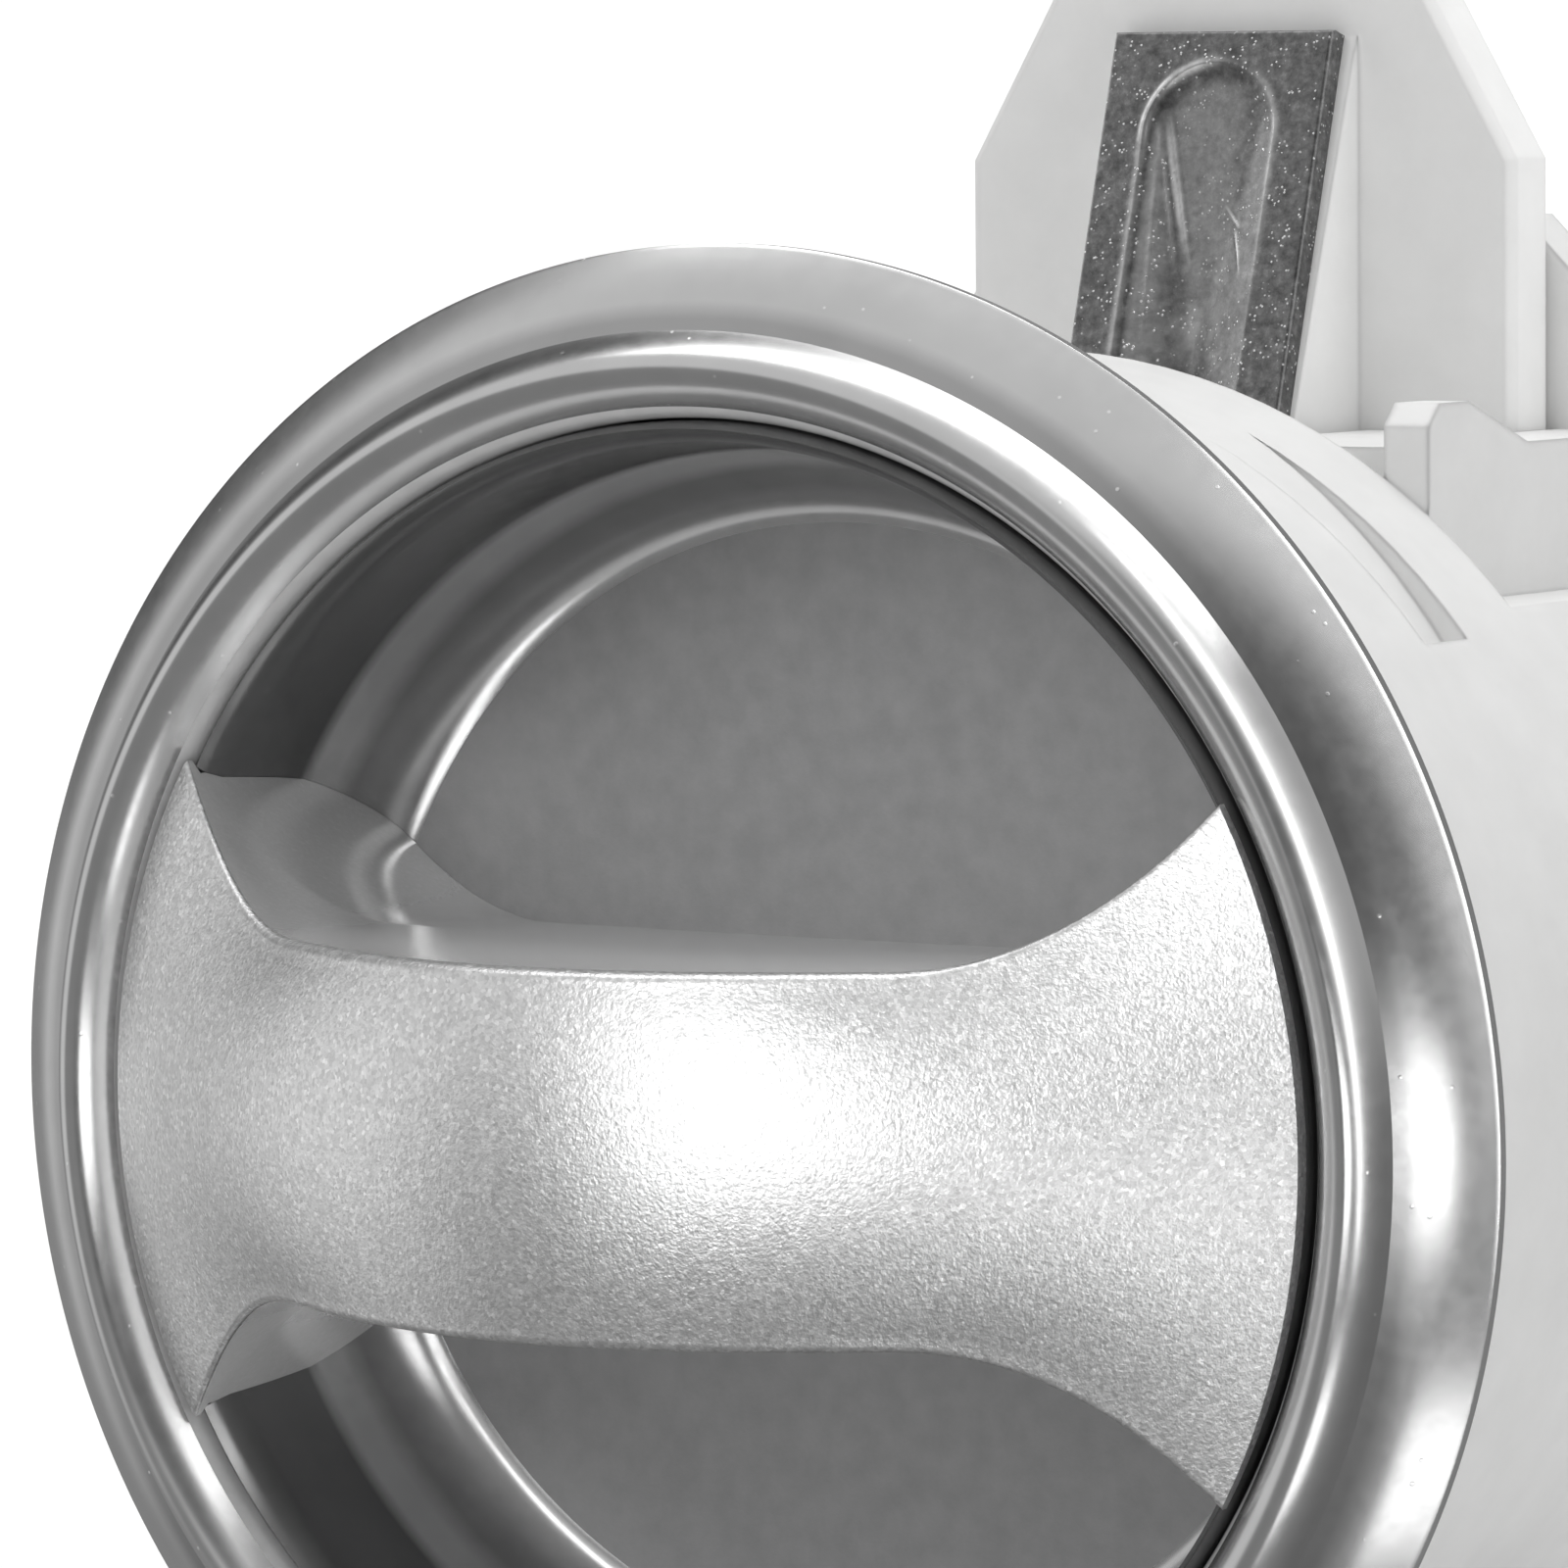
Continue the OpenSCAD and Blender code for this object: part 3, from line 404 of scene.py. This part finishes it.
def bezel_ring():
    ring = give(revolve("bezel_ring_turned", bezel_profile(), 384), POLISHED, BORE)
    for face in ring.data.polygons:
        reach, front = face_extent(ring, face)
        face.material_index = int(reach < SATIN_R and front > -SATIN_H)
    return stand_for(ring, "case", "polished_chrome", "bezel_ring")


# Cup: a lip under the bar's ends, a drafted wall, and a hollow ledge out to the floor.
LIP_T, LIP_H = 0.5, END_H - 0.6
WALL_R, WALL_TOP, WALL_FOOT = KNOB_R - 0.75, 1.1 - LIP_H, CUP_DEPTH - 4.4
LEDGE_R, FLOOR_R = KNOB_R - 1.1, KNOB_R - 3.9
HOLLOW_R, CUP_BACK = FLOOR_R + 1.5, CUP_DEPTH + 1.3


def cup_inside(steps=12):
    """Lip, wall, and a ledge that curves from the wall's foot through the hollow onto the floor."""
    foot, hollow, floor = (LEDGE_R, WALL_FOOT), (HOLLOW_R, CUP_DEPTH), (FLOOR_R, CUP_DEPTH)
    points = [(KNOB_R - LIP_T, -LIP_H + 0.3)]
    for i in range(steps // 2):
        t = i / (steps // 2)
        points.append((WALL_R + (LEDGE_R - WALL_R) * t, WALL_TOP + (WALL_FOOT - WALL_TOP) * t))
    for i in range(2 * steps + 1):
        t = i / (2 * steps)
        points.append(tuple(
            (1 - t) ** 2 * a + 2 * t * (1 - t) * b + t * t * c for a, b, c in zip(foot, hollow, floor)))
    return points


def knob_cup():
    lip = [(KNOB_R - LIP_T / 2, -LIP_H), (KNOB_R - 0.1, -LIP_H + 0.15), (KNOB_R, -LIP_H + 0.45)]
    outside = [
        (KNOB_R, CUP_DEPTH - 3.2), (KNOB_R - 0.5, CUP_DEPTH - 2.2),
        (FLOOR_R + 1.1 + CUP_WALL, CUP_DEPTH - 1.4), (FLOOR_R + 0.6 + CUP_WALL, CUP_BACK - 0.6),
        (FLOOR_R + 0.4, CUP_BACK), (0, CUP_BACK),
    ]
    profile = [(0, CUP_DEPTH), (FLOOR_R, CUP_DEPTH)] + cup_inside()[-2::-1] + lip + outside
    cup = give(revolve("knob_cup_turned", profile, 320), CUP_CHROME, CUP_FLOOR)
    for face in cup.data.polygons:
        reach, _ = face_extent(cup, face)
        face.material_index = int(reach < FLOOR_R + 0.02)
    return stand_for(cup, "knob", "satin_chrome", "knob_cup")


# Grip bar: stations t from -1 to 1 along it, rows down its sides, and v from -1 to 1 across it.
BAR_DRAFT, BAR_DOME, BAR_EDGE, EDGE_ROWS, EDGE_INSET = 0.9, 0.9, 0.7, 6, 0.35
FLARE_POWER, CROWN_FULLNESS, DOME_FADE, STATION_POWER = 2.1, 0.3, 0.8, 1.25
CORNER_X = math.sqrt(KNOB_R ** 2 - FLARE_W ** 2 / 4)
BAR_ROWS = [(-LIP_H - PUSH_GAP, KNOB_R), (-LIP_H - PUSH_GAP / 2, KNOB_R - LIP_T - PUSH_GAP)]
BAR_ROWS += [(y - PUSH_GAP, r - PUSH_GAP) for r, y in cup_inside(8)]
BAR_LAST = EDGE_ROWS + len(BAR_ROWS)


def bar_half(x):
    flare = max(0.0, (abs(x) - KNOB_R / 2) / (CORNER_X - KNOB_R / 2))
    return WAIST_W / 2 + (FLARE_W - WAIST_W) / 2 * flare ** FLARE_POWER


def crown_y(t):
    return -END_H - (CROWN_H - END_H) * (1 - t * t) * (1 - CROWN_FULLNESS * t * t)


def row_place(row, t, v):
    """Height, end radius and inset of a row. The first rows round the top edge."""
    fade = 1 - DOME_FADE * t * t
    if row <= EDGE_ROWS:
        a = math.pi / 2 * row / EDGE_ROWS
        y = crown_y(t) + BAR_DOME * v * v * fade + BAR_EDGE * fade * (1 - math.cos(a))
        return y, KNOB_R, EDGE_INSET * (1 - math.sin(a))
    y, r = BAR_ROWS[row - EDGE_ROWS - 1]
    top = crown_y(t) + BAR_DOME * fade
    low = max(0.0, (y - top) / (CUP_DEPTH - top))
    return y, r, BAR_DRAFT * low ** 3


def row_corner(row):
    """Where the side of a row meets the row's end radius, found by halving."""
    _, r, inset = row_place(row, 1.0, 1.0)
    low, high = 0.0, r
    for _ in range(30):
        x = (low + high) / 2
        if math.hypot(x, bar_half(x) - inset) > r:
            high = x
        else:
            low = x
    return low, bar_half(low) - inset


ROW_CORNERS = [row_corner(row) for row in range(BAR_LAST + 1)]


def bar_point(t, row, v):
    y, r, inset = row_place(row, t, v)
    corner_x, corner_z = ROW_CORNERS[row]
    half = bar_half(t * corner_x) - inset
    return (t * math.sqrt(r * r - (v * corner_z) ** 2), y, v * half)


def knob_bar():
    along, across = 176, 28
    verts, index, faces, sides = [], {}, [], []

    def add_point(i, row, j):
        t = 2 * i / along - 1
        station = math.copysign(1 - (1 - abs(t)) ** STATION_POWER, t)
        index[i, row, j] = len(verts)
        verts.append(bar_point(station, row, 2 * j / across - 1))

    ring = [(0, j) for j in range(across + 1)] + [(k, across) for k in range(1, BAR_LAST)]
    ring += [(BAR_LAST, j) for j in range(across, -1, -1)] + [(k, 0) for k in range(BAR_LAST - 1, 0, -1)]
    for i in range(along + 1):
        for k, j in ring:
            add_point(i, k, j)
    for i in (0, along):
        for k in range(1, BAR_LAST):
            for j in range(1, across):
                add_point(i, k, j)
    for i in range(along):
        for q, (k, j) in enumerate(ring):
            k2, j2 = ring[(q + 1) % len(ring)]
            faces.append((index[i, k, j], index[i, k2, j2], index[i + 1, k2, j2], index[i + 1, k, j]))
            sides.append(min(k, k2) >= EDGE_ROWS)
    for i in (0, along):
        for k in range(BAR_LAST):
            for j in range(across):
                faces.append((index[i, k, j], index[i, k, j + 1], index[i, k + 1, j + 1], index[i, k + 1, j]))
                sides.append(False)
    bar = give(mesh_object("knob_bar_cast", verts, faces, 50.0), PEARL, BAR_SIDE)
    for face, is_side in zip(bar.data.polygons, sides):
        face.material_index = int(is_side)
    return stand_for(bar, "knob", "pearl_chrome", "knob_bar")


# Steel plate on the bolt's slanted boss: a sheet with rolled edges and a pressed channel that gets
# deeper down the slant. Places on it are x across it and s down the slant from its top edge.
DRUM_LEN, CASE_DEPTH, BOLT_PLAY, BOLT_T = 20.5, 18.4, 0.2, 3.0
BOLT_TOP, BOSS_DROP, BOSS_LEN, BOSS_SLANT = 41.5, 4.4, 17.6, math.radians(17)
PLATE_W, PLATE_T, PLATE_LIFT, PLATE_EDGE = 9.4, 0.9, 0.1, 0.16
PLATE_LEN = (BOSS_LEN - 1.5) / math.cos(BOSS_SLANT)
CHANNEL_W, CHANNEL_TOP, CHANNEL_LOW = 5.7, 1.2, 14.0
CHANNEL_START, CHANNEL_END, WALL_SLOPE, BACK_DEPTH = 0.34, 1.28, 0.46, 0.55
ARCH_S = CHANNEL_TOP + CHANNEL_W / 2

# Lines that the press left in the channel: three (x, s) places of a curve, width and height.
SCORES = [
    ((-2.35, 3.3), (-1.6, 6.0), (-0.95, 9.6), 0.10, 0.035),
    ((-1.95, 3.0), (-1.15, 5.2), (-0.45, 9.2), 0.13, 0.05),
    ((-2.1, 3.2), (-1.45, 5.4), (-0.7, 8.6), 0.16, 0.03),
    ((-2.2, 3.6), (-2.0, 7.5), (-1.75, 12.5), 0.12, 0.03),
    ((0.75, 6.6), (1.2, 6.9), (1.6, 7.6), 0.09, 0.05),
    ((1.35, 7.6), (1.75, 8.3), (1.95, 9.4), 0.08, 0.05),
]


def inside_channel(x, s):
    """Distance in from the channel's outline, negative outside it."""
    if s < ARCH_S:
        return CHANNEL_W / 2 - math.hypot(x, s - ARCH_S)
    return CHANNEL_W / 2 - abs(x)


def channel_depth(s):
    return CHANNEL_START + (CHANNEL_END - CHANNEL_START) * blend_step(CHANNEL_TOP, CHANNEL_LOW, s)


def soft_min(a, b, width):
    share = max(width - abs(a - b), 0.0) / width
    return min(a, b) - share * share * width / 4


def score_lift(x, s):
    """Height of the pressed lines at a place, and how bright they are rubbed."""
    lift = shine = 0.0
    for start, middle, end, width, height in SCORES:
        if not start[1] < s < end[1]:
            continue
        t = (s - start[1]) / (end[1] - start[1])
        line_x = (1 - t) ** 2 * start[0] + 2 * t * (1 - t) * middle[0] + t * t * end[0]
        ridge = math.exp(-((x - line_x) / width) ** 2) * math.sin(math.pi * t) ** 0.5
        lift += height * ridge
        shine = max(shine, ridge)
    return lift, shine


def plate_front(x, s):
    """Height of the plate's front over the boss, and its burnish and painted highlight from 0 to 1."""
    d = inside_channel(x, s)
    depth = channel_depth(s)
    sink = soft_min(depth, WALL_SLOPE * max(0.0, d - 0.05), 0.2) if d > 0 else 0.0
    lift, shine = score_lift(x, s) if d > 0.15 else (0.0, 0.0)
    edge = max(0.0, PLATE_EDGE - min(PLATE_W / 2 - abs(x), s))
    roll = PLATE_EDGE - math.sqrt(max(0.0, PLATE_EDGE ** 2 - edge ** 2))
    # The channel's rim: a painted highlight, brightest at the upper left, and raised where it is bright.
    upper_left = blend_step(6.5, 3.2, s) * blend_step(0.9, -1.2, x)
    left = 0.6 * blend_step(-2.0, -2.6, x)
    right = 0.4 * blend_step(1.2, 2.2, x) * blend_step(12.0, 3.0, s)
    rim = math.exp(-((d - 0.02) / 0.16) ** 2) * max(upper_left, left, right)
    raised = 0.09 * math.exp(-((d + 0.02) / 0.15) ** 2) * max(upper_left, 0.5 * left, 0.5 * right)
    # The channel's left wall, a worn patch low down, and a faint rub over the rest of the inside.
    wall = 0.9 * blend_step(0.25, 0.6, d) * blend_step(depth / WALL_SLOPE + 0.2, 0.4, d)
    wall *= blend_step(0.5, -1.0, x) * blend_step(2.5, 4.5, s)
    patch = 0.5 * math.exp(-((x + 0.5) / 0.8) ** 2 - ((s - 11.2) / 1.3) ** 2)
    inside = 0.2 * blend_step(0.3, 0.9, d) * blend_step(13.5, 11.0, s) * blend_step(1.7, 0.7, x)
    burnish_and_highlight = max(rim, 0.75 * shine, wall, patch, inside)
    return PLATE_T + PUSH_GAP - sink + lift + raised - roll, burnish_and_highlight


def wear_plate():
    cols, rows = 118, 208
    corner = Vector((0, DRUM_LEN + CASE_DEPTH - BOLT_PLAY - BOLT_T - PLATE_LIFT, BOLT_TOP - BOSS_DROP))
    down = Vector((0, -math.sin(BOSS_SLANT), -math.cos(BOSS_SLANT)))
    out = Vector((0, -math.cos(BOSS_SLANT), math.sin(BOSS_SLANT)))
    across = [PLATE_W * (j / cols - 0.5) for j in range(cols + 1)]
    grid = [(x, PLATE_LEN * i / rows) for i in range(rows + 1) for x in across]
    fronts = [plate_front(x, s) for x, s in grid]
    heights = [z for z, _ in fronts]
    heights += [PUSH_GAP if z > PUSH_GAP + 0.25 else max(-BACK_DEPTH, z - 0.16) for z, _ in fronts]
    verts = [tuple(corner + down * s + out * z + Vector((x, 0, 0))) for (x, s), z in zip(grid * 2, heights)]
    front, width = len(grid), cols + 1
    faces = []
    for i in range(rows):
        for j in range(cols):
            a = i * width + j
            b = a + front
            faces.append((a, a + 1, a + 1 + width, a + width))
            faces.append((b, b + width, b + 1 + width, b + 1))
    rim = list(range(cols)) + [i * width + cols for i in range(rows)]
    rim += [rows * width + j for j in range(cols, 0, -1)] + [i * width for i in range(rows, 0, -1)]
    for k, a in enumerate(rim):
        b = rim[(k + 1) % len(rim)]
        faces.append((a, a + front, b + front, b))
    plate = give(mesh_object("wear_plate_pressed", verts, faces, 60.0), GALVANISED)
    # The layer holds real rubbing and a painted highlight along the channel's rim.
    layer = plate.data.attributes.new("burnish_and_highlight", "FLOAT", "POINT")
    for item, (_, burnish_and_highlight) in zip(layer.data, fronts):
        item.value = burnish_and_highlight
    return stand_for(plate, "bolt", "galvanised_steel", "wear_plate")


ring = bezel_ring()
cup = knob_cup()
bar = knob_bar()
plate = wear_plate()

# The CAD pieces that are shown as they are, with the material that each gets.
CARRIED = {
    "housing": WHITE, "rear_cover": WHITE, "bolt": WHITE, "bar_screws": ZINC,
    "spindle": TURNED, "spindle_bush": BRONZE, "thrust_washer": NATURAL, "drive_gear": NATURAL,
    "detent_spring_left": SPRING, "detent_spring_right": SPRING, "rear_washer": ZINC,
    "retaining_clip": SPRING, "cover_screws": ZINC,
}
for node_name, material in CARRIED.items():
    give(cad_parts[node_name], material)


# Camera: the photograph's view, fitted to the ring, cup, bar, drum and bolt.
VIEW_AZIMUTH, VIEW_ELEVATION, VIEW_ROLL = 32.25, 4.52, math.radians(-0.44)
DISTANCE, SIDE_SHIFT, RISE, FOCAL_PX, PHOTO_PX = 300.0, 1.72, 11.38, 8862.78, 1600.0


def direction(azimuth_deg, elevation_deg):
    """Unit vector to a place on the sky: azimuth 0 is straight in front, and it grows to the right."""
    a, e = math.radians(azimuth_deg), math.radians(elevation_deg)
    return Vector((math.sin(a) * math.cos(e), -math.cos(a) * math.cos(e), math.sin(e)))


def set_camera():
    back = direction(VIEW_AZIMUTH, VIEW_ELEVATION)
    level = -direction(VIEW_AZIMUTH - 90, 0)
    upright = back.cross(level)
    right = level * math.cos(VIEW_ROLL) + upright * math.sin(VIEW_ROLL)
    up = upright * math.cos(VIEW_ROLL) - level * math.sin(VIEW_ROLL)
    place = (back * DISTANCE + right * SIDE_SHIFT + up * RISE) * MM
    data = bpy.data.cameras.new("camera")
    data.sensor_width = 36.0
    data.lens = FOCAL_PX / PHOTO_PX * data.sensor_width
    data.clip_start = 0.01
    camera = bpy.data.objects.new("camera", data)
    camera.matrix_world = Matrix((
        (right.x, up.x, back.x, place.x), (right.y, up.y, back.y, place.y),
        (right.z, up.z, back.z, place.z), (0, 0, 0, 1),
    ))
    scene.collection.objects.link(camera)
    scene.camera = camera


def area_light(name, place, target, width, height, radiance):
    """A rectangular softbox, given by the brightness of its face."""
    data = bpy.data.lights.new(name, "AREA")
    data.shape = "RECTANGLE"
    data.size, data.size_y = width, height
    data.energy = radiance * math.pi * width * height
    light = bpy.data.objects.new(name, data)
    light.location = place
    aim = Vector(target) - Vector(place)
    light.rotation_euler = aim.to_track_quat("-Z", "Y").to_euler()
    scene.collection.objects.link(light)
    return light


def softbox(name, azimuth_deg, elevation_deg, width, height, radiance):
    """A softbox a metre away, facing the latch."""
    return area_light(name, direction(azimuth_deg, elevation_deg), (0, 0, 0), width, height, radiance)


def strip_light(name, low, high, width, radiance):
    """A narrow softbox a metre away, between two places on the sky given as (azimuth, elevation)."""
    start, end = direction(*low), direction(*high)
    out = (start + end).normalized()
    across = (end - start).cross(out).normalized()
    along = out.cross(across)
    length = 2 * (end - start).length / (start + end).length
    light = area_light(name, out, (0, 0, 0), width, length, radiance)
    light.rotation_euler = Matrix((across, along, out)).transposed().to_euler()
    return light


def lit_only(light, pieces):
    """Keeps a light on the given pieces, as flags and screens do in a studio."""
    group = bpy.data.collections.new(light.name + "_lit")
    for piece in pieces:
        group.objects.link(piece)
    light.light_linking.receiver_collection = group


# The floor sweeps up into a backdrop: sizes in metres, and how far it lies below the latch.
FLOOR_FRONT, FLOOR_BACK, FLOOR_HALF, SWEEP_R, SWEEP_TOP, FLOOR_DROP = -2.2, 0.9, 2.6, 0.5, 2.2, 0.0002


def stage():
    """A floor and backdrop of one pale material. Metal mirrors the studio's sky instead of it."""
    floor_z = cad_bounds[0][2] - FLOOR_DROP
    foot = FLOOR_BACK - SWEEP_R
    line = [(FLOOR_FRONT, 0.0), (foot, 0.0)]
    line += arc(12, 7.5, 90, lambda a: (foot + SWEEP_R * math.sin(a), SWEEP_R - SWEEP_R * math.cos(a)))
    line.append((FLOOR_BACK, SWEEP_TOP))
    verts = [(x / MM, y / MM, (floor_z + z) / MM) for y, z in line for x in (-FLOOR_HALF, FLOOR_HALF)]
    faces = [(2 * i, 2 * i + 1, 2 * i + 3, 2 * i + 2) for i in range(len(line) - 1)]
    floor = mesh_object("pale_floor", verts, faces, 60.0)
    material, tree, shader = new_material("pale_floor", 0.0)
    tree.plug(tree.ramp(tree.noise(6.0, 2.0), (0.3, 0.9), (0.7, 0.93)), shader.inputs["Base Color"])
    shader.inputs["Roughness"].default_value = 0.9
    give(floor, material)
    floor.visible_glossy = False
    floor.visible_shadow = False
    return floor


# The sky's brightness low down, high up and behind the latch, and its dark screens:
# (azimuth, elevation, inner radius, outer radius) in degrees and the brightness left.
SKY_LOW, SKY_HIGH, SKY_BEHIND = 0.24, 0.68, 0.26
DARK_SPOTS = [(26, 15, 12, 38, 0.2), (-116, 26, 14, 30, 0.3)]


def studio_sky():
    """A light tent as a procedural sky, dimmer low down and behind, with dark screens in it."""
    world = bpy.data.worlds.new("studio")
    world.use_nodes = True
    tree = NodeTree(world.node_tree)
    out = tree.nodes.new("ShaderNodeOutputWorld")
    sky = tree.nodes.new("ShaderNodeBackground")
    tree.links.new(sky.outputs["Background"], out.inputs["Surface"])
    place = tree.nodes.new("ShaderNodeTexCoord").outputs["Generated"]
    x, y, z = tree.axes("XYZ", place)
    left = tree.step(0.55, 0.95, tree.math("MULTIPLY", x, -1.0), 0.0, 0.45)
    in_front = tree.step(-0.06, 0.3, tree.math("ADD", z, left), SKY_LOW, SKY_HIGH)
    behind = tree.math("MULTIPLY", tree.step(0.05, 0.4, y), tree.step(0.92, 0.75, z))
    light = tree.math(
        "ADD",
        tree.math("MULTIPLY", in_front, tree.math("SUBTRACT", 1.0, behind)),
        tree.math("MULTIPLY", behind, SKY_BEHIND),
    )
    for azimuth_deg, elevation_deg, inner_deg, outer_deg, level in DARK_SPOTS:
        near = tree.nodes.new("ShaderNodeVectorMath")
        near.operation = "DOT_PRODUCT"
        tree.links.new(place, near.inputs[0])
        near.inputs[1].default_value = direction(azimuth_deg, elevation_deg)
        edges = math.cos(math.radians(outer_deg)), math.cos(math.radians(inner_deg))
        light = tree.math("MULTIPLY", light, tree.step(*edges, near.outputs["Value"], 1.0, level))
    tree.plug(light, sky.inputs["Strength"])
    sky.inputs["Color"].default_value = grey(1.0)
    scene.world = world


set_camera()
floor = stage()
studio_sky()
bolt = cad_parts["bolt"]
whites = [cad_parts["housing"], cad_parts["rear_cover"], bolt]
lit_only(softbox("front_softbox", 34.5, -5, 0.5, 0.2, 3.5), [ring])
lit_only(strip_light("arc_softbox", (72, -16), (60, 68), 0.14, 3.2), [ring])
lit_only(softbox("low_softbox", 55, -35, 0.46, 0.24, 2.0), [ring])
lit_only(strip_light("cup_strip", (-12, -26), (-8, 4), 0.2, 0.3), [cup])
lit_only(strip_light("cup_key", (-7, 21), (22, 50), 0.4, 2.8), [cup])
lit_only(softbox("cup_fill", 64, 24, 0.8, 0.8, 0.5), [cup])
lit_only(softbox("right_softbox", 96, 36, 0.8, 0.8, 0.9), [bar])
lit_only(softbox("bar_key", 13, 8, 0.5, 0.8, 3.9), [bar])
lit_only(softbox("bar_fill", 66, -22, 0.5, 0.6, 3.3), [bar])
lit_only(softbox("bar_left_fill", -70, -10, 0.9, 0.9, 0.3), [bar])
lit_only(softbox("plate_kicker", -92, 25, 0.5, 0.5, 2.2), [plate])
lit_only(softbox("plate_fill", 84, 20, 0.5, 0.5, 1.4), [plate])
lit_only(softbox("white_fill", 0, 20, 1.2, 1.0, 0.55), whites)
lit_only(softbox("bolt_fill", 90, 10, 0.8, 0.8, 1.3), [bolt])
area_light("backdrop_wash", (0.0, 0.2, 1.2), (0, 0.9, 0.4), 1.6, 0.5, 3.6)
lit_only(area_light("overhead", (0.0, 0.1, 1.1), (0, 0.05, 0), 1.3, 1.3, 0.55), whites + [floor])
scene.view_settings.view_transform = "Standard"
